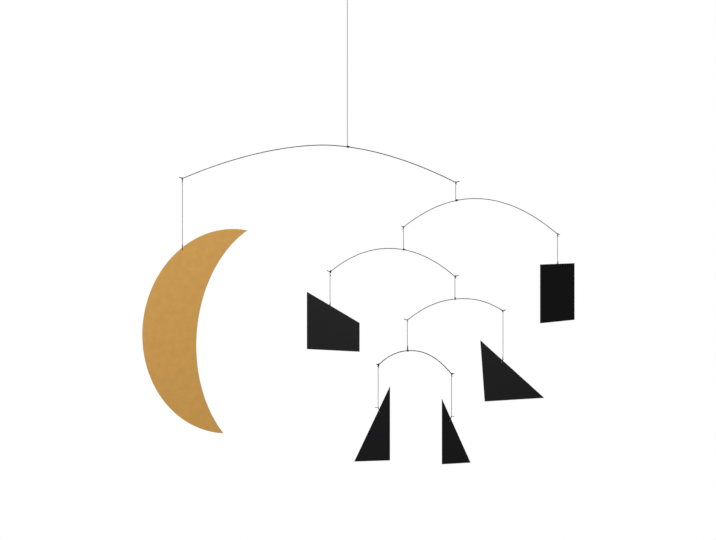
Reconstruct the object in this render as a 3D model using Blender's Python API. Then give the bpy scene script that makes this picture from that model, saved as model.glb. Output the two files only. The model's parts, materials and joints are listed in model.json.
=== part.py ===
"""A hanging mobile: five bowed steel wires and six cut card shapes, strung on threads.

Units are metres and +Z is up. The origin is where a hook bears in the loop at the top of the
thread. The front faces -Y. All the wires lie in the XZ plane, and each card shape is turned a
little about its own thread. Every wire and every shape can turn about the thread it hangs from.
"""

import math
from collections import namedtuple

import bpy
from mathutils import Vector

# ---------------------------------------------------------------- general sizes
GAP = 0.0003                    # clearance kept between neighbouring solids
THREAD_RADIUS = 0.00035
THREAD_SWAY = 0.0032            # how far below a wire a thread is back on its own line
HOOK_ARC = range(-50, 201, 25)  # degrees of a thread's turn round the wire above it
RING_STEPS = 12
THICK_WIRE_RADIUS = 0.0006
WIRE_RADIUS = 0.0005
HOLE_RADIUS = 0.0005
KNOT_STANDOFF = 0.0008          # from a shape's edge out to the thread looped over it
EDGE_RING_SLACK = 0.0001        # more room for that loop at the shape's faces
EDGE_RING_FULLNESS = 0.4        # squares that loop off, so that it goes straight through the hole
EDGE_RING_STEPS = 16

# the loop of thread that the whole mobile hangs by
HANG_LOOP_RADIUS = 0.004
HANG_LOOP_HEIGHT = 0.017
HANG_LOOP_ARC = range(-15, 196, 15)     # degrees of the round part of the loop
HANG_LOOP_END = 0.0010          # sideways place of the thread's end below the loop

# the ends of a wire: a notch for the thread, and a short tail turned up past it
NOTCH_BEND = 0.0011
BOW_STEPS = 13                  # straight steps on each side of a wire's crest

# One bowed wire. Reaches run from its own thread to the notches, drops from its crest to them.
# Each tail is its length and its rise in degrees.
Arm = namedtuple("Arm", "name above side thread reach_left reach_right crest drop_left "
                        "drop_right power radius tail_left tail_right")
ARMS = (
    Arm("top_arm", None, None, 0.2100, 0.2145, 0.1410, -0.0315, 0.0435, 0.0487, 1.80,
        THICK_WIRE_RADIUS, (0.0046, 25), (0.0053, 20)),
    Arm("second_arm", "top_arm", "right", 0.0238, 0.0680, 0.1325, 0.0250, 0.0372, 0.0465, 2.00,
        WIRE_RADIUS, (0.0030, 21), (0.0033, 1)),
    Arm("third_arm", "second_arm", "left", 0.0296, 0.0955, 0.0670, -0.0190, 0.0305, 0.0366, 2.05,
        WIRE_RADIUS, (0.0044, 25), (0.0052, 21)),
    Arm("fourth_arm", "third_arm", "right", 0.0296, 0.0620, 0.0625, 0.0110, 0.0280, 0.0160, 2.15,
        WIRE_RADIUS, (0.0047, 22), (0.0042, 24)),
    Arm("fifth_arm", "fourth_arm", "left", 0.0400, 0.0380, 0.0575, 0.0045, 0.0190, 0.0305, 2.15,
        THICK_WIRE_RADIUS, (0.0028, 38), (0.0037, 8)),
)

# One card shape. Its turn about the thread, and its lean in its own plane, are in degrees. The
# loop of thread over its edge runs square to that edge at a sag of 0, and straight down at 1.
# Each thickness is what balances its arm, with the cards and wires below it.
Shape = namedtuple("Shape", "name arm side thread turn lean thickness hole_inset loop_sag")
SHAPES = (
    Shape("moon", "top_arm", "left", 0.0889, 0, 0, 0.00124, 0.0040, 1.0),
    Shape("square", "second_arm", "right", 0.0378, 45, 0, 0.00177, 0.0024, 0.0),
    Shape("slant_topped_square", "third_arm", "left", 0.0432, -24, 0, 0.00183, 0.0024, 0.3),
    Shape("large_triangle", "fourth_arm", "right", 0.0638, -4, 4.1, 0.00165, 0.0024, 0.3),
    Shape("left_triangle", "fifth_arm", "left", 0.0585, 9, 0, 0.00111, 0.0026, 0.3),
    Shape("right_triangle", "fifth_arm", "right", 0.0584, 15, 0, 0.00085, 0.0026, 0.3),
)

# outlines of the shapes
SQUARE_SIDE = 0.0750
SLANT_SHORT_SIDE = 0.0370
LARGE_TRIANGLE = (0.0770, 0.0800)       # base and height
LEFT_TRIANGLE = (0.0470, 0.0965)
RIGHT_TRIANGLE = (0.0395, 0.0850)
MOON_OUTER = (0.1137, 0.1331)           # half width and half height of the outer ellipse
MOON_OUTER_LEAN = math.radians(-6.6)
MOON_INNER = (0.1130, 0.1604)           # the ellipse that the bay is cut to
MOON_INNER_LEAN = math.radians(-3.4)
MOON_INNER_SHIFT = (0.0693, -0.0120)    # its centre, from the outer ellipse's centre
MOON_OUTER_STEPS = 44
MOON_INNER_STEPS = 32


# ---------------------------------------------------------------- scene helpers
def clear_scene():
    for obj in list(bpy.data.objects):
        bpy.data.objects.remove(obj, do_unlink=True)


def make_collection(name):
    collection = bpy.data.collections.new(name)
    bpy.context.scene.collection.children.link(collection)
    return collection


def make_material(name, color, roughness, metallic=0.0):
    material = bpy.data.materials.new(name)
    material.use_nodes = True
    shader = material.node_tree.nodes["Principled BSDF"]
    shader.inputs["Base Color"].default_value = (*color, 1.0)
    shader.inputs["Roughness"].default_value = roughness
    shader.inputs["Metallic"].default_value = metallic
    return material


def add_object(name, data, material, pivot):
    """Put an object in the mobile's collection, under the empty of the piece it turns with."""
    obj = bpy.data.objects.new(name, data)
    data.materials.append(material)
    MOBILE.objects.link(obj)
    obj.parent = pivot
    return obj


def add_pivot(name, location):
    """An empty on the line of a thread: what hangs below it turns about its Z axis."""
    pivot = bpy.data.objects.new(name, None)
    pivot.empty_display_size = 0.01
    pivot.location = location
    MOBILE.objects.link(pivot)
    return pivot


def round_bar(name, points, radius, material, pivot, closed=False):
    """A wire or thread of round section through the points, which are relative to the pivot."""
    curve = bpy.data.curves.new(name, "CURVE")
    curve.dimensions = "3D"
    curve.bevel_depth = radius
    curve.bevel_resolution = 2
    curve.use_fill_caps = not closed
    spline = curve.splines.new("POLY")
    spline.points.add(len(points) - 1)
    for target, point in zip(spline.points, points):
        target.co = (*point, 1.0)
    spline.use_cyclic_u = closed
    return add_object(name, curve, material, pivot)


def bezier(p0, p1, p2, p3, steps):
    """Points along a cubic Bezier, its two ends included."""
    points = []
    for step in range(steps + 1):
        t = step / steps
        s = 1 - t
        points.append(p0 * s ** 3 + p1 * (3 * s * s * t) + p2 * (3 * s * t * t) + p3 * t ** 3)
    return points


# ---------------------------------------------------------------- bowed wires
def bow_drop(arm, x):
    """How far the wire is below its crest, at x from its own thread."""
    if x < arm.crest:
        return arm.drop_left * ((arm.crest - x) / (arm.reach_left + arm.crest)) ** arm.power
    return arm.drop_right * ((x - arm.crest) / (arm.reach_right - arm.crest)) ** arm.power


def bow_point(arm, x):
    """A point of the wire's centre line, relative to where its own thread holds it."""
    return Vector((x, 0, bow_drop(arm, 0) - bow_drop(arm, x)))


def notch_points(arm, side):
    """The notch and the upturned tail at one end of the wire, from the bow outwards."""
    sign = -1 if side == "left" else 1
    reach = arm.reach_left if side == "left" else arm.reach_right
    tail, rise = arm.tail_left if side == "left" else arm.tail_right
    corner = bow_point(arm, sign * reach)
    start = bow_point(arm, sign * (reach - NOTCH_BEND))
    outward = Vector((sign * math.cos(math.radians(rise)), 0, math.sin(math.radians(rise))))
    end = corner + outward * NOTCH_BEND
    bend = bezier(start, start.lerp(corner, 2 / 3), end.lerp(corner, 2 / 3), end, 4)
    return bend + [corner + outward * tail]


def notch_seat(arm, side):
    """The lowest place of the notch, where the next thread is looped round the wire."""
    return notch_points(arm, side)[2]


def wire_points(arm):
    left_end = -(arm.reach_left - NOTCH_BEND)
    right_end = arm.reach_right - NOTCH_BEND
    xs = [left_end + (arm.crest - left_end) * i / BOW_STEPS for i in range(1, BOW_STEPS)]
    xs += [arm.crest + (right_end - arm.crest) * i / BOW_STEPS for i in range(BOW_STEPS)]
    left = notch_points(arm, "left")
    return left[::-1] + [bow_point(arm, x) for x in xs] + notch_points(arm, "right")


# ---------------------------------------------------------------- threads
def loop_radius(wire_radius):
    """Radius of the thread's own centre line where it is looped round a wire."""
    return wire_radius + GAP + THREAD_RADIUS


def ring_points(across, along, steps, centre=Vector(), fullness=1.0):
    """A closed oval of points, with its half axes as vectors. Below 1, fullness squares it off."""
    points = []
    for i in range(steps):
        x, y = (math.copysign(abs(c) ** fullness, c)
                for c in (math.cos(2 * math.pi * i / steps), math.sin(2 * math.pi * i / steps)))
        points.append(centre + across * x + along * y)
    return points


def hooked_thread(seat, wire_radius, bottom):
    """A thread from a turn round the wire at the seat, straight down to the height bottom."""
    radius = loop_radius(wire_radius)
    angles = [math.radians(a) for a in HOOK_ARC]
    turn = [seat + Vector((0, math.cos(a), math.sin(a))) * radius for a in angles]
    leaving = Vector((0, -math.sin(angles[-1]), math.cos(angles[-1])))
    back_on_line = seat - Vector((0, 0, THREAD_SWAY))
    sway = bezier(turn[-1], turn[-1] + leaving * THREAD_SWAY / 3,
                  back_on_line + Vector((0, 0, THREAD_SWAY / 3)), back_on_line, 4)
    return turn + sway[1:] + [Vector((seat.x, seat.y, bottom))]


def hanging_loop_thread(bottom):
    """The top thread: a drop-shaped loop whose inside top is the origin, then straight down."""
    top = Vector((0, 0, THREAD_RADIUS - HANG_LOOP_RADIUS))
    foot = Vector((0, 0, THREAD_RADIUS - HANG_LOOP_HEIGHT))
    end = foot + Vector((HANG_LOOP_END, 0, 0))
    angles = [math.radians(a) for a in HANG_LOOP_ARC]
    arc = [top + Vector((math.cos(a), 0, math.sin(a))) * HANG_LOOP_RADIUS for a in angles]
    rise = end.lerp(arc[0], 0.5)
    fall = arc[-1].lerp(foot, 0.5)
    return [end, rise] + arc + [fall, foot, Vector((0, 0, bottom))]


def knot_ring(name, wire_radius, pivot):
    """The turn of thread that holds a wire at its balance point."""
    radius = loop_radius(wire_radius)
    points = ring_points(Vector((0, radius, 0)), Vector((0, 0, radius)), RING_STEPS)
    return round_bar(name, points, THREAD_RADIUS, THREAD, pivot, closed=True)


def clear_of_wire(wire_radius):
    """Height above a held wire's centre at which the thread above its knot ends."""
    return loop_radius(wire_radius) + THREAD_RADIUS + GAP


# ---------------------------------------------------------------- card outlines
def ellipse_point(centre, half_axes, lean, angle):
    x = half_axes[0] * math.cos(angle)
    y = half_axes[1] * math.sin(angle)
    return Vector((centre[0] + x * math.cos(lean) - y * math.sin(lean),
                   centre[1] + x * math.sin(lean) + y * math.cos(lean)))


def ellipse_angle(centre, half_axes, lean, point):
    """The parameter of the ellipse's point that lies in the direction of the given point."""
    x, y = point[0] - centre[0], point[1] - centre[1]
    along = (x * math.cos(lean) + y * math.sin(lean)) / half_axes[0]
    up = (-x * math.sin(lean) + y * math.cos(lean)) / half_axes[1]
    return math.atan2(up, along) % (2 * math.pi), math.hypot(along, up)


def crescent_tip(outside, inside):
    """Where the outer ellipse meets the bay's ellipse, between two angles of the outer one."""
    for _ in range(50):
        middle = (outside + inside) / 2
        point = ellipse_point((0, 0), MOON_OUTER, MOON_OUTER_LEAN, middle)
        if ellipse_angle(MOON_INNER_SHIFT, MOON_INNER, MOON_INNER_LEAN, point)[1] > 1:
            outside = middle
        else:
            inside = middle
    return outside


def crescent_outline():
    """The back of the outer ellipse from tip to tip, then the bay's edge back again."""
    upper = crescent_tip(math.pi, math.radians(45))
    lower = crescent_tip(math.pi, math.radians(315))
    back = [ellipse_point((0, 0), MOON_OUTER, MOON_OUTER_LEAN,
                          upper + (lower - upper) * i / MOON_OUTER_STEPS)
            for i in range(MOON_OUTER_STEPS + 1)]
    start = ellipse_angle(MOON_INNER_SHIFT, MOON_INNER, MOON_INNER_LEAN, back[-1])[0]
    end = ellipse_angle(MOON_INNER_SHIFT, MOON_INNER, MOON_INNER_LEAN, back[0])[0]
    bay = [ellipse_point(MOON_INNER_SHIFT, MOON_INNER, MOON_INNER_LEAN,
                         start + (end - start) * i / MOON_INNER_STEPS)
           for i in range(1, MOON_INNER_STEPS)]
    return back + bay


def four_sided_outline(width, left_height, right_height):
    return [Vector((0, 0)), Vector((width, 0)), Vector((width, right_height)),
            Vector((0, left_height))]


def right_triangle_outline(size, upright):
    """A right-angled triangle whose upright edge is on the left or on the right."""
    base, height = size
    apex = 0 if upright == "left" else base
    return [Vector((0, 0)), Vector((base, 0)), Vector((apex, height))]


OUTLINES = {
    "moon": crescent_outline(),
    "square": four_sided_outline(SQUARE_SIDE, SQUARE_SIDE, SQUARE_SIDE),
    "slant_topped_square": four_sided_outline(SQUARE_SIDE, SQUARE_SIDE, SLANT_SHORT_SIDE),
    "large_triangle": right_triangle_outline(LARGE_TRIANGLE, "left"),
    "left_triangle": right_triangle_outline(LEFT_TRIANGLE, "right"),
    "right_triangle": right_triangle_outline(RIGHT_TRIANGLE, "left"),
}


# ---------------------------------------------------------------- card shapes
def centroid_x(outline):
    area = moment = 0.0
    for a, b in zip(outline, outline[1:] + outline[:1]):
        cross = a.x * b.y - b.x * a.y
        area += cross / 2
        moment += (a.x + b.x) * cross / 6
    return moment / area


def top_edge_at(outline, x):
    """The highest edge over x: the point there, and the edge's outward normal."""
    best = None
    for a, b in zip(outline, outline[1:] + outline[:1]):
        if (a.x - x) * (b.x - x) > 0 or a.x == b.x:
            continue
        point = a.lerp(b, (x - a.x) / (b.x - a.x))
        if best is None or point.y > best[0].y:
            direction = (b - a).normalized()
            normal = Vector((direction.y, -direction.x))
            best = (point, normal if normal.y > 0 else -normal)
    return best


def hung_outline(shape):
    """The leaned outline with its knot at (0, 0) straight above its centroid, and the normal."""
    lean = math.radians(shape.lean)
    turned = [Vector((p.x * math.cos(lean) - p.y * math.sin(lean),
                      p.x * math.sin(lean) + p.y * math.cos(lean)))
              for p in OUTLINES[shape.name]]
    edge, normal = top_edge_at(turned, centroid_x(turned))
    knot = edge + Vector((0, KNOT_STANDOFF / normal.y))
    return [p - knot for p in turned], normal


def loop_line(shape, normal):
    """From the knot to the hole, in the card's own plane."""
    inward = (-normal).lerp(Vector((0, -1)), shape.loop_sag).normalized()
    return inward * (shape.hole_inset - KNOT_STANDOFF / inward.dot(normal))


def card(shape, outline, hole, material, pivot):
    """The flat card with its hole, standing in its own turned plane through the thread."""
    curve = bpy.data.curves.new(shape.name, "CURVE")
    curve.dimensions = "2D"
    curve.fill_mode = "BOTH"
    curve.extrude = shape.thickness / 2
    rim = [p.to_3d() for p in ring_points(Vector((HOLE_RADIUS, 0)), Vector((0, HOLE_RADIUS)),
                                          RING_STEPS, hole)]
    for loop in ([p.to_3d() for p in outline], rim):
        spline = curve.splines.new("POLY")
        spline.points.add(len(loop) - 1)
        for target, point in zip(spline.points, loop):
            target.co = (*point, 1.0)
        spline.use_cyclic_u = True
    obj = add_object(shape.name, curve, material, pivot)
    obj.rotation_euler = (math.radians(90), 0, math.radians(shape.turn))
    return obj


def edge_ring(shape, hole, pivot):
    """The oval of thread from the knot over the card's edge and through the hole."""
    turn = math.radians(shape.turn)
    centre = Vector((hole.x * math.cos(turn), hole.x * math.sin(turn), hole.y)) / 2
    across = Vector((-math.sin(turn), math.cos(turn), 0))
    half_width = shape.thickness / 2 + GAP + THREAD_RADIUS + EDGE_RING_SLACK
    points = ring_points(centre, across * half_width, EDGE_RING_STEPS, centre, EDGE_RING_FULLNESS)
    return round_bar(shape.name + "_knot", points, THREAD_RADIUS, THREAD, pivot, closed=True)


# ---------------------------------------------------------------- putting it together
def build_arms():
    """Each wire in its own pivot with its knot, and the thread it hangs by on the piece above."""
    pivots = {}
    places = {}
    for arm in ARMS:
        if arm.above is None:
            place = Vector((0, 0, -arm.thread))
            line = hanging_loop_thread(place.z + clear_of_wire(arm.radius))
            round_bar(arm.name + "_thread", line, THREAD_RADIUS, THREAD, None)
        else:
            place = hang_thread(arm, arm.above, arm.side, clear_of_wire(arm.radius), places,
                                pivots)
        places[arm.name] = place
        pivots[arm.name] = add_pivot(arm.name + "_pivot", place)
        round_bar(arm.name, wire_points(arm), arm.radius, STEEL, pivots[arm.name])
        knot_ring(arm.name + "_knot", arm.radius, pivots[arm.name])
    return places, pivots


def hang_thread(piece, above, side, clearance, places, pivots):
    """The thread of a wire or shape, on the arm above. Returns the place of its lower knot."""
    arm = next(a for a in ARMS if a.name == above)
    seat = notch_seat(arm, side)
    bottom = seat.z - piece.thread + clearance
    line = hooked_thread(seat, arm.radius, bottom)
    round_bar(piece.name + "_thread", line, THREAD_RADIUS, THREAD, pivots[above])
    return places[above] + seat - Vector((0, 0, piece.thread))


def build_shapes(places, pivots):
    for shape in SHAPES:
        clearance = THREAD_RADIUS * 2 + GAP
        place = hang_thread(shape, shape.arm, shape.side, clearance, places, pivots)
        pivot = add_pivot(shape.name + "_pivot", place)
        outline, normal = hung_outline(shape)
        hole = loop_line(shape, normal)
        card(shape, outline, hole, GOLD if shape.name == "moon" else BLACK, pivot)
        edge_ring(shape, hole, pivot)


clear_scene()
MOBILE = make_collection("hanging_mobile")
STEEL = make_material("steel_wire", (0.12, 0.12, 0.125), 0.4, 1.0)
THREAD = make_material("thread", (0.020, 0.020, 0.021), 0.9)
GOLD = make_material("gold_card", (0.56, 0.30, 0.07), 0.68)
BLACK = make_material("black_card", (0.004, 0.004, 0.0045), 0.52)
build_shapes(*build_arms())
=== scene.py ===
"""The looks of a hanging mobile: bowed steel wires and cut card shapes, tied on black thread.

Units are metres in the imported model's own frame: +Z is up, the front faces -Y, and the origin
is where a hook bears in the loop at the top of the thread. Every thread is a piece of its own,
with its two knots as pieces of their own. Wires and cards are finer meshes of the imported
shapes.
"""

import json
import math
from collections import namedtuple

import bmesh
import bpy
from mathutils import Matrix, Vector


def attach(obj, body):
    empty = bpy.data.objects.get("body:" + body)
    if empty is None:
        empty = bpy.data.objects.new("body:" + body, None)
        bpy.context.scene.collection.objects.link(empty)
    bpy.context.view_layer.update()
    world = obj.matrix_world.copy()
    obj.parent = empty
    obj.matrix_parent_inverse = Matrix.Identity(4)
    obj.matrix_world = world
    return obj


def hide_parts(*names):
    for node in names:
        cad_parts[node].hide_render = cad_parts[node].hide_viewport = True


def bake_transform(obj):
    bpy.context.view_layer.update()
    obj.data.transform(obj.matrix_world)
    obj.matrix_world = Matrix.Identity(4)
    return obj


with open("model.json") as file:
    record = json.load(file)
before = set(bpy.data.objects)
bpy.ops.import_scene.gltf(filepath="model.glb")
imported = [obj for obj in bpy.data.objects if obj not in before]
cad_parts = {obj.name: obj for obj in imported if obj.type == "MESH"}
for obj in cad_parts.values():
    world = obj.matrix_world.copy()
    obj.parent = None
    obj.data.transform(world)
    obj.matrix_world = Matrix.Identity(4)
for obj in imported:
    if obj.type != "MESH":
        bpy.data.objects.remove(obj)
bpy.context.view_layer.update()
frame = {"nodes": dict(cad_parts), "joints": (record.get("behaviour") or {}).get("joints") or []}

UP = Vector((0, 0, 1))
FRONT = Vector((0, -1, 0))
MM = 0.001

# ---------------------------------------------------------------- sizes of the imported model
THREAD_RADIUS = 0.00035
THICK_WIRE_RADIUS = 0.0006
WIRE_RADIUS = 0.0005
NOTCH_BEND = 0.0011
HOLE_RADIUS = 0.0005

# the loop that the mobile hangs by
HANG_LOOP_RADIUS = 0.004
HANG_LOOP_HEIGHT = 0.017
HANG_LOOP_ARC = (-15, 195)      # degrees of the loop's round top

# One bowed wire. Its reaches run from its own thread to its notches, its crest is that far right
# of the thread, and its drops are from the crest down to the notches. A power of 2 makes the bow
# a parabola. Each tail is its length and its rise in degrees.
Arm = namedtuple("Arm", "name reach_left reach_right crest drop_left drop_right power radius "
                        "tail_left tail_right")
ARMS = {arm.name: arm for arm in (
    Arm("top_arm", 0.2145, 0.1410, -0.0315, 0.0435, 0.0487, 1.80, THICK_WIRE_RADIUS,
        (0.0046, 25), (0.0053, 20)),
    Arm("second_arm", 0.0680, 0.1325, 0.0250, 0.0372, 0.0465, 2.00, WIRE_RADIUS,
        (0.0030, 21), (0.0033, 1)),
    Arm("third_arm", 0.0955, 0.0670, -0.0190, 0.0305, 0.0366, 2.05, WIRE_RADIUS,
        (0.0044, 25), (0.0052, 21)),
    Arm("fourth_arm", 0.0620, 0.0625, 0.0110, 0.0280, 0.0160, 2.15, WIRE_RADIUS,
        (0.0047, 22), (0.0042, 24)),
    Arm("fifth_arm", 0.0380, 0.0575, 0.0045, 0.0190, 0.0305, 2.15, THICK_WIRE_RADIUS,
        (0.0028, 38), (0.0037, 8)),
)}

PIVOTS = {joint["child"]: Vector(joint["pos_m"]) for joint in frame["joints"]}

# ---------------------------------------------------------------- how each thread is tied
# A tie: its turns round the wire, the turns of its hitch round the standing thread, and where
# its loose end stops, in millimetres from the place of the tie.
Tie = namedtuple("Tie", "wraps hitch loose_end")
# One thread: the body and side of the wire it hangs from, its two ties, and how many millimetres
# above the pivot the lower one begins where it is tied to a card.
Line = namedtuple("Line", "name above side upper lower tie_height")
LINES = (
    Line("top_arm", None, None, Tie(0, 1.5, (2.2, -0.6, -15.9)), Tie(2.5, 0, (4.2, -0.9, -0.3)),
         0),
    Line("moon", "top_arm", "left", Tie(1.5, 1.0, (-0.7, -0.6, -4.8)),
         Tie(0, 0.5, (0.7, -0.5, 2.2)), 0.1),
    Line("second_arm", "top_arm", "right", Tie(1.5, 0, (0.8, -0.6, -2.4)),
         Tie(3.5, 0, (4.4, -0.8, 1.0)), 0),
    Line("square", "second_arm", "right", Tie(1.5, 0, (0.8, -0.5, -2.6)),
         Tie(0, 0.5, (0.7, -0.5, 1.8)), 0.2),
    Line("third_arm", "second_arm", "left", Tie(1.5, 0, (-1.2, -0.5, -2.9)),
         Tie(1.5, 0, (2.6, -1.0, 0.2)), 0),
    Line("slant_topped_square", "third_arm", "left", Tie(2.5, 0, (0.9, -0.5, -5.4)),
         Tie(0, 0.5, (0.6, -0.5, 2.6)), 0.2),
    Line("fourth_arm", "third_arm", "right", Tie(2.5, 0, (0.9, -0.6, -2.6)),
         Tie(1.5, 0.5, (1.2, -0.8, 1.6)), 0),
    Line("large_triangle", "fourth_arm", "right", Tie(1.5, 0, (-2.6, -0.9, 2.2)),
         Tie(0, 0.5, (-0.7, -0.5, 3.6)), 0.2),
    Line("fifth_arm", "fourth_arm", "left", Tie(0.5, 0, (0.9, -0.6, -2.2)),
         Tie(2.5, 0.5, (0.9, -0.6, 6.0)), 0),
    Line("left_triangle", "fifth_arm", "left", Tie(2.5, 0.5, (0.9, -0.6, -3.4)),
         Tie(0, 0.5, (-3.4, -0.4, 3.2)), 2.8),
    Line("right_triangle", "fifth_arm", "right", Tie(2.5, 0, (1.0, -0.6, -3.2)),
         Tie(0, 0.5, (2.9, -0.4, 2.9)), 2.4),
)

# ---------------------------------------------------------------- camera
CAMERA_PLACE = (0.0139, -1.45, -0.3149)
SENSOR_WIDTH = 36               # millimetres
LENS = 56.06                    # millimetres
VIEW_SHIFT = -0.0594            # of the view's width; below zero it is downwards


def add_camera():
    """At the height of the wires, looking level along +Y, with the view shifted down."""
    camera = bpy.data.cameras.new("camera")
    camera.sensor_width = SENSOR_WIDTH
    camera.lens = LENS
    camera.shift_y = VIEW_SHIFT
    obj = bpy.data.objects.new("camera", camera)
    obj.location = CAMERA_PLACE
    obj.rotation_euler = (math.radians(90), 0, 0)
    bpy.context.scene.collection.objects.link(obj)
    bpy.context.scene.camera = obj


# ---------------------------------------------------------------- lines in space
def bezier(p0, p1, p2, p3, steps):
    """Points along a cubic Bezier, its two ends included."""
    points = []
    for step in range(steps + 1):
        t = step / steps
        s = 1 - t
        points.append(p0 * s ** 3 + p1 * (3 * s * s * t) + p2 * (3 * s * t * t) + p3 * t ** 3)
    return points


def line_length(points):
    return sum((b - a).length for a, b in zip(points, points[1:]))


def spaced(points, spacing):
    """The same line with its points evenly spaced, both ends kept."""
    total = line_length(points)
    count = max(2, round(total / spacing))
    result = [points[0]]
    done = 0.0
    for a, b in zip(points, points[1:]):
        step = (b - a).length
        while len(result) < count and done + step >= total * len(result) / count:
            result.append(a.lerp(b, (total * len(result) / count - done) / step))
        done += step
    return result + [points[-1]]


def sides_along(points):
    """A tangent and a side vector at each point, carried along with no twist."""
    tangents = [(b - a).normalized() for a, b in
                zip([points[0]] + points[:-1], points[1:] + [points[-1]])]
    side = tangents[0].orthogonal().normalized()
    result = []
    for tangent in tangents:
        side = (side - tangent * side.dot(tangent)).normalized()
        result.append((tangent, side))
    return result


# ---------------------------------------------------------------- meshes
def finish_piece(name, bm, materials, place=Matrix()):
    """A smooth-shaded object from the finished bmesh."""
    mesh = bpy.data.meshes.new(name)
    bmesh.ops.recalc_face_normals(bm, faces=bm.faces)
    for face in bm.faces:
        face.smooth = True
    bm.to_mesh(mesh)
    bm.free()
    for material in materials:
        mesh.materials.append(material)
    obj = bpy.data.objects.new(name, mesh)
    obj.matrix_world = place
    bpy.context.scene.collection.objects.link(obj)
    return obj


def add_tube(bm, points, radius, sides, section=None):
    """A closed tube: radius gives the size at each point, and section the shape of its rings."""
    rings = []
    along = 0.0
    before = points[0]
    for index, (point, (tangent, side)) in enumerate(zip(points, sides_along(points))):
        along += (point - before).length
        before = point
        across = tangent.cross(side)
        ring = []
        for k in range(sides):
            angle = 2 * math.pi * k / sides
            size, turned = section(angle, along) if section else (1.0, angle)
            out = side * math.cos(turned) + across * math.sin(turned)
            ring.append(bm.verts.new(point + out * radius(index) * size))
        rings.append(ring)
    for ring, after in zip(rings, rings[1:]):
        for k in range(sides):
            bm.faces.new((ring[k], ring[(k + 1) % sides], after[(k + 1) % sides], after[k]))
    for ring, point in ((rings[0], points[0]), (rings[-1], points[-1])):
        middle = bm.verts.new(point)
        for k in range(sides):
            bm.faces.new((ring[k], ring[(k + 1) % sides], middle))


# ---------------------------------------------------------------- wires
WIRE_SIDES = 18
WIRE_STEP = 0.0012              # along the bow
NOTCH_STEPS = 12                # round a notch's bend
# How far from the tip each ring of a snipped end is, and how wide, in radii of the wire.
SNIPPED_END = ((0.0, 0.55), (0.12, 0.78), (0.35, 0.94), (0.7, 1.0))


def bow_drop(arm, x):
    """How far the wire is below its crest, at x from its own thread."""
    if x < arm.crest:
        return arm.drop_left * ((arm.crest - x) / (arm.reach_left + arm.crest)) ** arm.power
    return arm.drop_right * ((x - arm.crest) / (arm.reach_right - arm.crest)) ** arm.power


def bow_point(arm, x):
    """A point of the wire's centre line, relative to where its own thread holds it."""
    return Vector((x, 0, bow_drop(arm, 0) - bow_drop(arm, x)))


def notch_points(arm, side):
    """The notch and the upturned tail at one end of the wire, from the bow outwards."""
    sign = -1 if side == "left" else 1
    reach = arm.reach_left if side == "left" else arm.reach_right
    tail, rise = arm.tail_left if side == "left" else arm.tail_right
    corner = bow_point(arm, sign * reach)
    start = bow_point(arm, sign * (reach - NOTCH_BEND))
    outward = Vector((sign * math.cos(math.radians(rise)), 0, math.sin(math.radians(rise))))
    end = corner + outward * NOTCH_BEND
    bend = bezier(start, start.lerp(corner, 2 / 3), end.lerp(corner, 2 / 3), end, NOTCH_STEPS)
    return bend + [corner + outward * tail]


def notch_seat(arm, side):
    """The middle of the notch's bend, where the next thread is looped round the wire."""
    return PIVOTS[arm.name] + notch_points(arm, side)[NOTCH_STEPS // 2]


def wire_points(arm):
    """The wire's centre line, from its left tip to its right one."""
    low = -(arm.reach_left - NOTCH_BEND)
    high = arm.reach_right - NOTCH_BEND
    steps = round((high - low) / WIRE_STEP)
    bow = [bow_point(arm, low + (high - low) * i / steps) for i in range(1, steps)]
    points = notch_points(arm, "left")[::-1] + bow + notch_points(arm, "right")
    return [PIVOTS[arm.name] + point for point in points]


def snipped_ends(points, radius):
    """The line with close rings at both ends, and the radius at each, for domed cut ends."""
    ends = []
    for tip, inner in ((points[0], points[1]), (points[-1], points[-2])):
        inward = (inner - tip).normalized() * radius
        ends.append([tip + inward * step for step, _ in SNIPPED_END])
    line = ends[0] + points[1:-1] + ends[1][::-1]
    sizes = [size for _, size in SNIPPED_END]
    radii = sizes + [1.0] * (len(points) - 2) + sizes[::-1]
    return line, [radius * size for size in radii]


def make_wire(arm, material):
    line, radii = snipped_ends(wire_points(arm), arm.radius)
    bm = bmesh.new()
    add_tube(bm, line, lambda index: radii[index], WIRE_SIDES)
    wire = finish_piece(arm.name + "_wire", bm, [material])
    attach(wire, arm.name)
    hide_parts(arm.name)


# ---------------------------------------------------------------- threads and knots
SLACK = 0.00002                 # air between a strand and what it lies against
STRAND = 2.2 * THREAD_RADIUS    # spacing of strands that lie side by side
RING_SPACING = 0.0002           # along a thread's mesh
THREAD_SIDES = 15
PLIES = 3
PLY_PITCH = 0.0024              # one whole turn of the plies
PLY_DEPTH = 0.1                 # of the thread's radius, from the mean to a ply's crown
HITCH_RUN = 0.0014              # of strand in which it bends over from a card into the hitch

# steps along a strand, before it is evenly spaced
TURN_STEPS = 30                 # in one turn round a wire
HITCH_STEPS = 24                # in one turn of a hitch
BEND_STEPS = 14                 # in a bend between the standing thread, the turns and a hitch
LEG_STEPS = 24                  # along a face of a card
THROUGH_STEPS = 16              # in the half turn through a card's hole
LOOSE_STEPS = 30                # in a loose end
LOOP_STEPS = (30, 60, 40)       # up one side of the hanging loop, over it and down the other

# the handles of a bend, as a share of the straight way between its two ends
WIRE_EASE = 0.45                # from the standing thread onto a wire
HITCH_EASE = 0.5                # into a hitch

# the handles of the hanging loop's sides
LOOP_EASE = 0.6                 # of the way along each side, for the handle of its upper end
LOOP_FOOT_RISE = 0.003          # up from the foot of the side that the thread goes up
LOOP_FOOT_SPREAD = 0.0008       # across from the foot of the side that it comes down
LOOP_FOOT_LIFT = 0.0012         # and up from there

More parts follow.
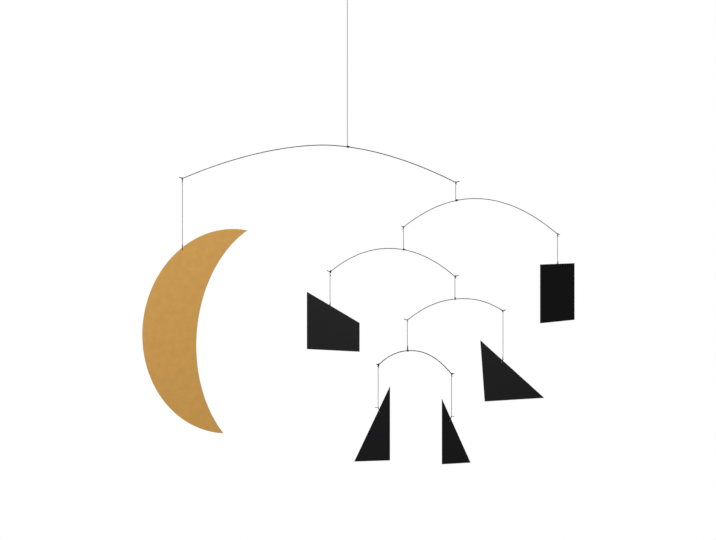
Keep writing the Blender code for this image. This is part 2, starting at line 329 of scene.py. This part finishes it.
# the handles of a loose end
LOOSE_HANDLE = 0.0009           # by which it keeps on round its knot
LOOSE_HANDLE_SHARE = 0.4        # of its reach, which that handle doesn't pass
LOOSE_EASE = 0.6                # of its reach, for the handle of its tip
LOOSE_LIFT = 0.0002             # of that handle to the front
HEADING_TURN = 0.02             # of a hitch, in which its heading is read

# the plies that come apart at a loose end
FRAY_SIDES = 8
FRAY_ANGLE = 0.4                # radians, of the first ply round the thread
FRAY_OFFSET = 0.45              # of the thread's radius, from its middle
FRAY_ROOT = 0.0003              # inside the thread
FRAY_LENGTH = 0.0007
FRAY_STEP = 0.00015             # by which each ply is longer than the one before
FRAY_SPREAD = 0.0002            # outwards at the tip
FRAY_HANDLE = 0.0004            # along the thread at the root
FRAY_CURL = 0.0001              # inwards at the tip
FRAY_TAPER = (0.5, 0.5, 0.5, 0.47, 0.42, 0.34, 0.2)     # of the thread's radius, root to tip

# A hitch round the standing thread starts behind it, goes first to the given side and climbs
# away from what the thread is tied to.
Hitch = namedtuple("Hitch", "base away back side")
# One end of a thread: its own line from the hitch to what it is tied to, and the rest of the
# strand from there back to the start of the hitch.
End = namedtuple("End", "line back hitch")


def twisted(angle, along):
    """The section of twisted thread: a lobe for each ply, and rings that turn with the twist."""
    return 1 + PLY_DEPTH * math.cos(PLIES * angle), angle + 2 * math.pi * along / PLY_PITCH


def hitch_point(hitch, turns):
    """The place on the hitch that many turns from its start."""
    angle = 2 * math.pi * turns
    out = hitch.back * math.cos(angle) + hitch.side * math.sin(angle)
    return hitch.base + hitch.away * STRAND * turns + out * STRAND


def into_hitch(point, heading, hitch):
    """The strand from a point behind the standing thread to the start of its hitch."""
    start = hitch_point(hitch, 0)
    handle = (start - point).length * HITCH_EASE
    return bezier(point, point + heading * handle, start - hitch.side * handle, start,
                  BEND_STEPS)[1:]


def wire_frame(points, x):
    """The place on the wire's centre line at x, and the wire's direction there."""
    for a, b in zip(points, points[1:]):
        if a.x <= x <= b.x:
            return a.lerp(b, (x - a.x) / (b.x - a.x)), (b - a).normalized()
    raise ValueError("no wire at this place")


def wire_tie(tie, seat, away, arm):
    """A thread's end that goes over the wire, round it and back to a hitch on itself."""
    wire = wire_points(arm)
    radius = arm.radius + THREAD_RADIUS + SLACK
    to = math.copysign(1, tie.loose_end[0])
    clear = radius + 2 * THREAD_RADIUS
    hitch = Hitch(seat + away * clear, away, -FRONT, Vector((-to, 0, 0)))

    def wrapped(turns):
        """Where the strand is that many turns round the wire, starting at the wire's front."""
        centre, along = wire_frame(wire, seat.x + to * STRAND * (turns - 0.5))
        out = (away - along * along.dot(away)).normalized()
        angle = 2 * math.pi * turns
        return centre + (FRONT * math.cos(angle) - out * math.sin(angle)) * radius

    start = wrapped(0)
    handle = (hitch.base - start).length * WIRE_EASE
    sway = bezier(hitch.base, hitch.base - away * handle, start + away * handle, start,
                  BEND_STEPS)
    # the first half turn belongs to the thread itself, and the others to its knot
    first = [wrapped(i / TURN_STEPS) for i in range(1, TURN_STEPS // 2 + 1)]
    steps = round((tie.wraps - 0.5) * TURN_STEPS)
    others = [wrapped(0.5 + i / TURN_STEPS) for i in range(steps + 1)]
    return End(sway + first, others + into_hitch(others[-1], away, hitch), hitch)


def card_tie(line, pivot, card):
    """A thread's end that goes down one face of the card and back up the other to a hitch."""
    junction = pivot + UP * line.tie_height * MM
    axes = card.place.to_3x3()
    normal = axes @ Vector((0, 0, 1))
    to = math.copysign(1, line.lower.loose_end[0])
    hitch = Hitch(junction, UP, -normal, axes @ Vector((-to, 0, 0)))
    hole = card.place @ card.hole.to_3d()
    inward = (hole - junction).normalized()
    bearing = hole - inward * (HOLE_RADIUS - THREAD_RADIUS - SLACK)
    length = (bearing - junction).length
    to_edge = length - (bearing - card.place @ card.edge.to_3d()).length
    half = card.thickness / 2 + THREAD_RADIUS + SLACK   # from the card's middle to the strand's
    turn = THREAD_RADIUS    # from where the strand turns into the hole down to its bearing

    def leg(first, sign, skipped=0.0):
        """Down one face to where the strand turns into the hole, less a skipped first stretch."""
        points = []
        for i in range(LEG_STEPS + 1):
            down = skipped + (length - turn - skipped) * i / LEG_STEPS
            share = min(1.0, down / to_edge)
            out = first + (half - first) * (1 - math.cos(math.pi * share)) / 2
            points.append(junction + inward * down + normal * out * sign)
        return points

    middle = junction + inward * (length - turn)
    angles = [math.pi * i / THROUGH_STEPS for i in range(1, THROUGH_STEPS)]
    through = [middle + inward * turn * math.sin(a) + normal * half * math.cos(a)
               for a in angles]
    up = leg(STRAND, -1, HITCH_RUN)[::-1]
    return End(leg(0, 1) + through + up[:1], up + into_hitch(up[-1], -inward, hitch), hitch)


def hanging_loop():
    """The loop at the top: up its left side, over, and down to the hitch at its foot."""
    top = Vector((0, 0, THREAD_RADIUS - HANG_LOOP_RADIUS))
    foot = Vector((0, 0, THREAD_RADIUS - HANG_LOOP_HEIGHT))
    rise_steps, arc_steps, fall_steps = LOOP_STEPS
    low, high = (math.radians(a) for a in HANG_LOOP_ARC)
    angles = [high + (low - high) * i / arc_steps for i in range(arc_steps + 1)]
    arc = [top + Vector((math.cos(a), 0, math.sin(a))) * HANG_LOOP_RADIUS for a in angles]
    rise = bezier(foot, foot + UP * LOOP_FOOT_RISE, foot.lerp(arc[0], LOOP_EASE), arc[0],
                  rise_steps)
    hitch = Hitch(foot, -UP, -FRONT, Vector((-1, 0, 0)))
    end = hitch_point(hitch, 0)
    fall = bezier(arc[-1], arc[-1].lerp(foot, LOOP_EASE),
                  end - hitch.side * LOOP_FOOT_SPREAD + UP * LOOP_FOOT_LIFT, end, fall_steps)
    line = rise[:-1] + arc + fall[1:]
    return End(line, line[-1:], hitch)


def add_fray(bm, points):
    """The plies that come apart where the strand stops."""
    tangent, side = sides_along(points)[-1]
    for k in range(PLIES):
        angle = 2 * math.pi * k / PLIES + FRAY_ANGLE
        out = side * math.cos(angle) + tangent.cross(side) * math.sin(angle)
        root = points[-1] - tangent * FRAY_ROOT + out * THREAD_RADIUS * FRAY_OFFSET
        tip = root + tangent * (FRAY_LENGTH + FRAY_STEP * k) + out * FRAY_SPREAD
        ply = bezier(root, root + tangent * FRAY_HANDLE, tip - out * FRAY_CURL, tip,
                     len(FRAY_TAPER) - 1)
        add_tube(bm, ply, lambda index: THREAD_RADIUS * FRAY_TAPER[index], FRAY_SIDES)


def make_knot(name, tie, end, place, body, material):
    """The rest of a thread's end: its turns, the hitch and the loose end, frayed into plies."""
    steps = max(1, round(tie.hitch * HITCH_STEPS))
    coil = [hitch_point(end.hitch, tie.hitch * i / steps) for i in range(1, steps + 1)]
    start = coil[-1]
    tip = place + Vector(tie.loose_end) * MM
    heading = hitch_point(end.hitch, tie.hitch + HEADING_TURN) - start
    handle = min(LOOSE_HANDLE, (tip - start).length * LOOSE_HANDLE_SHARE)
    tail = bezier(start, start + heading.normalized() * handle,
                  start.lerp(tip, LOOSE_EASE) + FRONT * LOOSE_LIFT, tip, LOOSE_STEPS)
    points = spaced(end.back + coil + tail[1:], RING_SPACING)
    bm = bmesh.new()
    add_tube(bm, points, lambda index: THREAD_RADIUS, THREAD_SIDES, twisted)
    add_fray(bm, points)
    piece = finish_piece(name, bm, [material])
    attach(piece, body)
    return piece


def upper_end(line):
    """The body that a thread hangs from, the place of its tie there, and that end of it."""
    if line.above is None:
        return "hanging_thread", Vector((0, 0, 0)), hanging_loop()
    place = notch_seat(ARMS[line.above], line.side)
    return line.above, place, wire_tie(line.upper, place, -UP, ARMS[line.above])


def make_thread(line, cards, material):
    """One thread with both of its ties, from the wire or loop above to the wire or card below."""
    pivot = PIVOTS[line.name]
    if line.name in ARMS:
        lower = wire_tie(line.lower, pivot, UP, ARMS[line.name])
    else:
        lower = card_tie(line, pivot, cards[line.name])
    above, place, upper = upper_end(line)
    path = spaced(upper.line[::-1] + lower.line, RING_SPACING)
    bm = bmesh.new()
    add_tube(bm, path, lambda index: THREAD_RADIUS, THREAD_SIDES, twisted)
    thread = finish_piece(line.name + "_line", bm, [material])
    knots = [make_knot(line.name + "_tie_above", line.upper, upper, place, above, material),
             make_knot(line.name + "_tie_below", line.lower, lower, pivot, line.name, material)]
    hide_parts(line.name + "_thread")
    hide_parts(line.name + "_knot")
    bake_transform(thread)
    # the top thread leaves the wires upwards, and its far end is the loop
    if line.above is None:
        path = path[::-1]


# ---------------------------------------------------------------- cards
CARD_EDGE = 0.00013             # softened edge of a card's faces
CARD_EDGE_RESOLUTION = 2
CARD_CORNER = 0.0003            # rounding of a card's corners
CORNER_STEPS = 5
CORNER_TURN = math.radians(20)  # the outline turns by more than this at a corner
CURVE_STEPS = 4                 # between two points of a curved outline
RIM_STEPS = 48                  # round the hole
WELD = 0.000001                 # vertices within this of each other are one
FACE_NORMAL = 0.5               # where the normal has more than this along Z is a card's face
FLAT_NORMAL = 0.99              # and where it has more than this, the face's flat part
SHARP_EDGE = math.radians(35)   # edges that fold by more are shaded sharp

# A card: its own plane, its thickness, and in that plane its outline, its hole's middle and where
# the thread comes over its edge.
Card = namedtuple("Card", "place thickness outline hole edge")


def card_plane(node, pivot):
    """The card's own plane: X along it, Y up and Z out of its front face, from its pivot."""
    front = max((p for p in node.data.polygons if p.normal.y < 0), key=lambda p: p.area).normal
    turn = math.atan2(front.x, -front.y)
    return Matrix.Translation(pivot) @ Matrix.Rotation(turn, 4, "Z") @ Matrix.Rotation(
        math.radians(90), 4, "X")


def border_loops(node, place):
    """The card's thickness, and its front face's borders in its own plane, longest first."""
    bm = bmesh.new()
    bm.from_mesh(node.data)
    bm.transform(place.inverted())
    bmesh.ops.remove_doubles(bm, verts=bm.verts, dist=WELD)
    thickness = 2 * max(vert.co.z for vert in bm.verts)
    others = [face for face in bm.faces if face.normal.z < FACE_NORMAL]
    bmesh.ops.delete(bm, geom=others, context="FACES")
    bm.verts.index_update()
    following = {}
    for edge in bm.edges:
        if edge.is_boundary:
            loop = edge.link_loops[0]
            following[loop.vert.index] = loop.link_loop_next.vert
    loops = []
    while following:
        index = min(following)
        chain = []
        while index in following:
            vert = following.pop(index)
            chain.append(vert.co.to_2d())
            index = vert.index
        loops.append(chain)
    bm.free()
    return thickness, sorted(loops, key=line_length, reverse=True)


def edge_crossing(outline, hole):
    """Where the straight line from the pivot to the hole crosses the card's edge."""
    for a, b in zip(outline, outline[1:] + outline[:1]):
        along = b - a
        cross = hole.x * along.y - hole.y * along.x
        if cross == 0:
            continue
        on_line = (a.x * along.y - a.y * along.x) / cross
        on_edge = (a.x * hole.y - a.y * hole.x) / cross
        if 0 <= on_edge <= 1 and 0 < on_line < 1:
            return hole * on_line
    raise ValueError("the line to the hole doesn't cross the card's edge")


def read_card(name):
    node = frame["nodes"][name]
    place = card_plane(node, PIVOTS[name])
    thickness, (outline, rim) = border_loops(node, place)
    hole = sum(rim, Vector((0, 0))) / len(rim)
    return Card(place, thickness, outline, hole, edge_crossing(outline, hole))


def rounded_corner(start, corner, end):
    """Points along the bend that cuts a corner off, its two ends included."""
    points = []
    for step in range(CORNER_STEPS + 1):
        t = step / CORNER_STEPS
        points.append(start * (1 - t) ** 2 + corner * (2 * t * (1 - t)) + end * t * t)
    return points


def refined(outline):
    """The outline with its corners rounded off a little and its curved stretches made smooth."""
    count = len(outline)
    chords = [outline[(i + 1) % count] - point for i, point in enumerate(outline)]
    corner = [abs(chords[i - 1].angle_signed(chords[i])) > CORNER_TURN for i in range(count)]
    result = []
    for i, point in enumerate(outline):
        after = (i + 1) % count
        chord = chords[i].normalized()
        if corner[i]:
            start = point - chords[i - 1].normalized() * CARD_CORNER
            result += rounded_corner(start, point, point + chord * CARD_CORNER)
        else:
            result.append(point.copy())
        if corner[i] and corner[after]:
            continue
        # along a curve: the slope at each end, which at a corner mirrors the one at the other end
        leaving = (chords[i - 1] + chords[i]).normalized()
        arriving = (chords[i] + chords[after]).normalized()
        if corner[i]:
            leaving = chord * 2 * chord.dot(arriving) - arriving
        if corner[after]:
            arriving = chord * 2 * chord.dot(leaving) - leaving
        handle = chords[i].length / 3
        result += bezier(point, point + leaving * handle, outline[after] - arriving * handle,
                         outline[after], CURVE_STEPS)[1:-1]
    return result


def card_body(name, card):
    """The card's shape: its refined outline and its hole, thickened, with softened edges."""
    curve = bpy.data.curves.new(name, "CURVE")
    curve.dimensions = "2D"
    curve.fill_mode = "BOTH"
    curve.extrude = card.thickness / 2 - CARD_EDGE
    curve.bevel_depth = CARD_EDGE
    curve.bevel_resolution = CARD_EDGE_RESOLUTION
    curve.offset = -CARD_EDGE
    angles = [2 * math.pi * i / RIM_STEPS for i in range(RIM_STEPS)]
    rim = [card.hole + Vector((math.cos(a), -math.sin(a))) * HOLE_RADIUS for a in angles]
    for loop in (refined(card.outline), rim):
        spline = curve.splines.new("POLY")
        spline.points.add(len(loop) - 1)
        for target, point in zip(spline.points, loop):
            target.co = (point.x, point.y, 0, 1)
        spline.use_cyclic_u = True
    source = bpy.data.objects.new(name, curve)
    bpy.context.scene.collection.objects.link(source)
    evaluated = source.evaluated_get(bpy.context.evaluated_depsgraph_get())
    mesh = bpy.data.meshes.new_from_object(evaluated)
    bm = bmesh.new()
    bm.from_mesh(mesh)
    bpy.data.objects.remove(source)
    bpy.data.meshes.remove(mesh)
    bmesh.ops.remove_doubles(bm, verts=bm.verts, dist=WELD)
    return bm


def make_card(name, card, face_material, cut_material, slot):
    """The card, with its cut edges in a material of their own."""
    bm = card_body(name, card)
    for face in bm.faces:
        face.material_index = 0 if abs(face.normal.z) > FACE_NORMAL else 1
    piece = finish_piece(name + "_card", bm, [face_material, cut_material], card.place)
    piece.data.set_sharp_from_angle(angle=SHARP_EDGE)
    for polygon in piece.data.polygons:
        polygon.use_smooth = abs(polygon.normal.z) < FLAT_NORMAL
    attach(piece, name)
    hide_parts(name)


# ---------------------------------------------------------------- materials
# Linear colours. Where there are two, the surface varies from the first to the second.
GOLD = (0.56, 0.298, 0.068)
GOLD_CUT = ((0.26, 0.17, 0.07), (0.36, 0.24, 0.10))
BLACK = (0.0042, 0.0041, 0.0052)
BLACK_CUT = ((0.008, 0.008, 0.008), (0.02, 0.02, 0.021))
STEEL = ((0.055, 0.055, 0.058), (0.10, 0.10, 0.104))
THREAD = ((0.012, 0.012, 0.013), (0.022, 0.022, 0.023))
LOOSE_FIBRE = (0.035, 0.035, 0.036)
FLOOR = ((0.82, 0.82, 0.82), (0.85, 0.85, 0.85))
WHITE = (1, 1, 1, 1)
NOISE_SPAN = (0.3, 0.7)         # where most of a noise's values lie
CARD_ROUGHNESS_SPAN = 0.07      # either side of the card's own roughness


def add_node(tree, kind, inputs=None, **settings):
    """A shader node with its settings, and with inputs that are values or other sockets."""
    node = tree.nodes.new(kind)
    for key, value in settings.items():
        setattr(node, key, value)
    for key, value in (inputs or {}).items():
        if isinstance(value, bpy.types.NodeSocket):
            tree.links.new(value, node.inputs[key])
        else:
            node.inputs[key].default_value = value
    return node


def start_material(name, **constants):
    """A material, its Principled shader and the object coordinates of what wears it."""
    material = bpy.data.materials.new(name)
    material.use_nodes = True
    tree = material.node_tree
    shader = tree.nodes["Principled BSDF"]
    for key, value in constants.items():
        shader.inputs[key.replace("_", " ")].default_value = value
    coordinates = add_node(tree, "ShaderNodeTexCoord").outputs["Object"]
    return material, tree, shader, coordinates


def noise(tree, coordinates, scale, stretch=(1, 1, 1), detail=3, roughness=0.55):
    """Noise of that many cells a metre, times the stretch along each axis."""
    mapping = add_node(tree, "ShaderNodeMapping", {"Vector": coordinates, "Scale": stretch})
    return add_node(tree, "ShaderNodeTexNoise", {
        "Vector": mapping.outputs[0], "Scale": scale, "Detail": detail,
        "Roughness": roughness}).outputs["Fac"]


def ranged(tree, value, low, high):
    """The middle stretch of a noise's values, spread over low to high."""
    start, end = NOISE_SPAN
    return add_node(tree, "ShaderNodeMapRange", {
        "Value": value, "From Min": start, "From Max": end, "To Min": low,
        "To Max": high}).outputs["Result"]


def blended(tree, factor, dark, light):
    """From dark to light as the factor rises, each of them a colour or a colour's socket."""
    dark, light = (color if isinstance(color, bpy.types.NodeSocket) else (*color, 1)
                   for color in (dark, light))
    return add_node(tree, "ShaderNodeMix", {0: factor, 6: dark, 7: light},
                    data_type="RGBA").outputs[2]


def bumped(tree, height, strength, distance, below=None):
    """The surface's normal with a relief on it, or on the one from the relief below."""
    inputs = {"Height": height, "Strength": strength, "Distance": distance}
    if below:
        inputs["Normal"] = below
    return add_node(tree, "ShaderNodeBump", inputs).outputs["Normal"]


def shaded(color, share):
    return tuple(channel * share for channel in color)


def card_face(name, color, contrast, **constants):
    """Matte card: fine pressed grain, faint fibres lying along it, and mottling of all sizes."""
    material, tree, shader, coordinates = start_material(name, **constants)
    grain = noise(tree, coordinates, scale=2400, roughness=0.6)
    fibres = noise(tree, coordinates, scale=3200, stretch=(0.18, 1, 1), detail=2)
    mottling = noise(tree, coordinates, scale=90, detail=5, roughness=0.75)
    dark, light = shaded(color, 1 - contrast), shaded(color, 1 + contrast)
    speckled = blended(tree, ranged(tree, grain, 0, 1), dark, light)
    mottled = blended(tree, ranged(tree, mottling, 0, 1), dark, light)
    tree.links.new(blended(tree, ranged(tree, fibres, 0.45, 0.75), speckled, mottled),
                   shader.inputs["Base Color"])
    rough = shader.inputs["Roughness"].default_value
    tree.links.new(ranged(tree, grain, rough - CARD_ROUGHNESS_SPAN, rough + CARD_ROUGHNESS_SPAN),
                   shader.inputs["Roughness"])
    relief = bumped(tree, fibres, strength=0.25, distance=0.00004)
    tree.links.new(bumped(tree, grain, strength=0.35, distance=0.00005, below=relief),
                   shader.inputs["Normal"])
    return material


def card_cut(name, dark, light, **constants):
    """The cut edge of card: its layers as fine lines along the edge, with loose fibres."""
    material, tree, shader, coordinates = start_material(name, **constants)
    layers = noise(tree, coordinates, scale=9000, stretch=(0.04, 0.04, 1), detail=2)
    fibres = noise(tree, coordinates, scale=5200, roughness=0.65)
    color = blended(tree, ranged(tree, layers, 0, 1), dark, light)
    tree.links.new(blended(tree, ranged(tree, fibres, 0, 0.4), color, shaded(dark, 0.7)),
                   shader.inputs["Base Color"])
    relief = bumped(tree, layers, strength=0.5, distance=0.00005)
    tree.links.new(bumped(tree, fibres, strength=0.5, distance=0.00006, below=relief),
                   shader.inputs["Normal"])
    return material


def steel():
    """Drawn spring steel: dark and satin, with fine marks along the wire and dull patches."""
    material, tree, shader, coordinates = start_material("drawn_steel", Metallic=1.0)
    streaks = noise(tree, coordinates, scale=9000, stretch=(0.08, 1, 0.3), roughness=0.6)
    patches = noise(tree, coordinates, scale=240, detail=4, roughness=0.6)
    tree.links.new(blended(tree, ranged(tree, patches, 0, 1), *STEEL),
                   shader.inputs["Base Color"])
    tree.links.new(ranged(tree, streaks, 0.3, 0.5), shader.inputs["Roughness"])
    tree.links.new(bumped(tree, streaks, strength=0.25, distance=0.00002),
                   shader.inputs["Normal"])
    return material


def thread_fibre():
    """Black twisted thread: soft fibres, a little paler where they have rubbed."""
    material, tree, shader, coordinates = start_material(
        "black_thread", Roughness=0.9, Specular_IOR_Level=0.2, Sheen_Weight=0.08,
        Sheen_Roughness=0.6)
    fibres = noise(tree, coordinates, scale=16000, stretch=(1, 1, 0.45), roughness=0.65)
    rubbed = noise(tree, coordinates, scale=520)
    worn = blended(tree, ranged(tree, rubbed, 0, 1), *THREAD)
    tree.links.new(blended(tree, ranged(tree, fibres, 0, 0.5), worn, LOOSE_FIBRE),
                   shader.inputs["Base Color"])
    tree.links.new(bumped(tree, fibres, strength=0.6, distance=0.00005),
                   shader.inputs["Normal"])
    return material


def pale_floor():
    """A white floor, bright enough that it runs into the backdrop with no edge."""
    material, tree, shader, coordinates = start_material(
        "pale_floor", Roughness=0.8, Emission_Color=WHITE, Emission_Strength=0.95)
    clouds = noise(tree, coordinates, scale=3, detail=2)
    tree.links.new(blended(tree, ranged(tree, clouds, 0, 1), *FLOOR),
                   shader.inputs["Base Color"])
    return material


# ---------------------------------------------------------------- studio
FLOOR_LEVEL = -2.6
FLOOR_RADIUS = 1.6
FLOOR_SIDES = 96
AMBIENT = 0.10                  # the backdrop's brightness as a light; the camera sees it as 1
LIT_PLACE = Vector((0, 0, -0.4))    # what the lights are turned to, near the mobile's middle

# A round soft light: its place, its diameter and its power in watts.
Light = namedtuple("Light", "name place size power")
LIGHTS = (
    Light("key", Vector((-0.78, -1.56, 0.72)), 0.8, 43),
    Light("fill", Vector((1.9, -1.6, 0.1)), 1.8, 2),
    Light("back", Vector((0.8, 2.1, 0.5)), 1.6, 36),
)


def add_world():
    """A white backdrop for the camera, which lights the object much less brightly."""
    world = bpy.data.worlds.new("studio")
    world.use_nodes = True
    tree = world.node_tree
    tree.nodes.clear()
    backdrop = add_node(tree, "ShaderNodeBackground", {"Color": WHITE, "Strength": 1.0})
    ambient = add_node(tree, "ShaderNodeBackground", {"Color": WHITE, "Strength": AMBIENT})
    seen = add_node(tree, "ShaderNodeLightPath").outputs["Is Camera Ray"]
    mix = add_node(tree, "ShaderNodeMixShader", {0: seen, 1: ambient.outputs[0],
                                                 2: backdrop.outputs[0]})
    add_node(tree, "ShaderNodeOutputWorld", {"Surface": mix.outputs[0]})
    bpy.context.scene.world = world


def add_light(light):
    lamp = bpy.data.lights.new(light.name, "AREA")
    lamp.shape = "DISK"
    lamp.size = light.size
    lamp.energy = light.power
    obj = bpy.data.objects.new(light.name, lamp)
    obj.location = light.place
    obj.rotation_euler = (LIT_PLACE - light.place).to_track_quat("-Z", "Y").to_euler()
    bpy.context.scene.collection.objects.link(obj)


def add_floor():
    bm = bmesh.new()
    bmesh.ops.create_circle(bm, cap_ends=True, segments=FLOOR_SIDES, radius=FLOOR_RADIUS)
    floor = finish_piece("floor", bm, [pale_floor()], Matrix.Translation((0, 0, FLOOR_LEVEL)))


# ---------------------------------------------------------------- putting it together
def build():
    add_camera()
    cards = {name: read_card(name) for name in PIVOTS if name not in ARMS}
    black_thread = thread_fibre()
    for line in LINES:
        make_thread(line, cards, black_thread)
    wire_steel = steel()
    for arm in ARMS.values():
        make_wire(arm, wire_steel)
    gold = (card_face("gold_card", GOLD, contrast=0.12, Roughness=0.68, Specular_IOR_Level=0.3),
            card_cut("gold_card_cut", *GOLD_CUT, Roughness=0.85), "gold_card")
    black = (card_face("black_card", BLACK, contrast=0.3, Roughness=0.52,
                       Specular_IOR_Level=0.33),
             card_cut("black_card_cut", *BLACK_CUT, Roughness=0.85), "black_card")
    for name, card in cards.items():
        make_card(name, card, *(gold if name == "moon" else black))
    add_world()
    for light in LIGHTS:
        add_light(light)
    add_floor()
    bpy.context.scene.view_settings.view_transform = "Standard"


build()
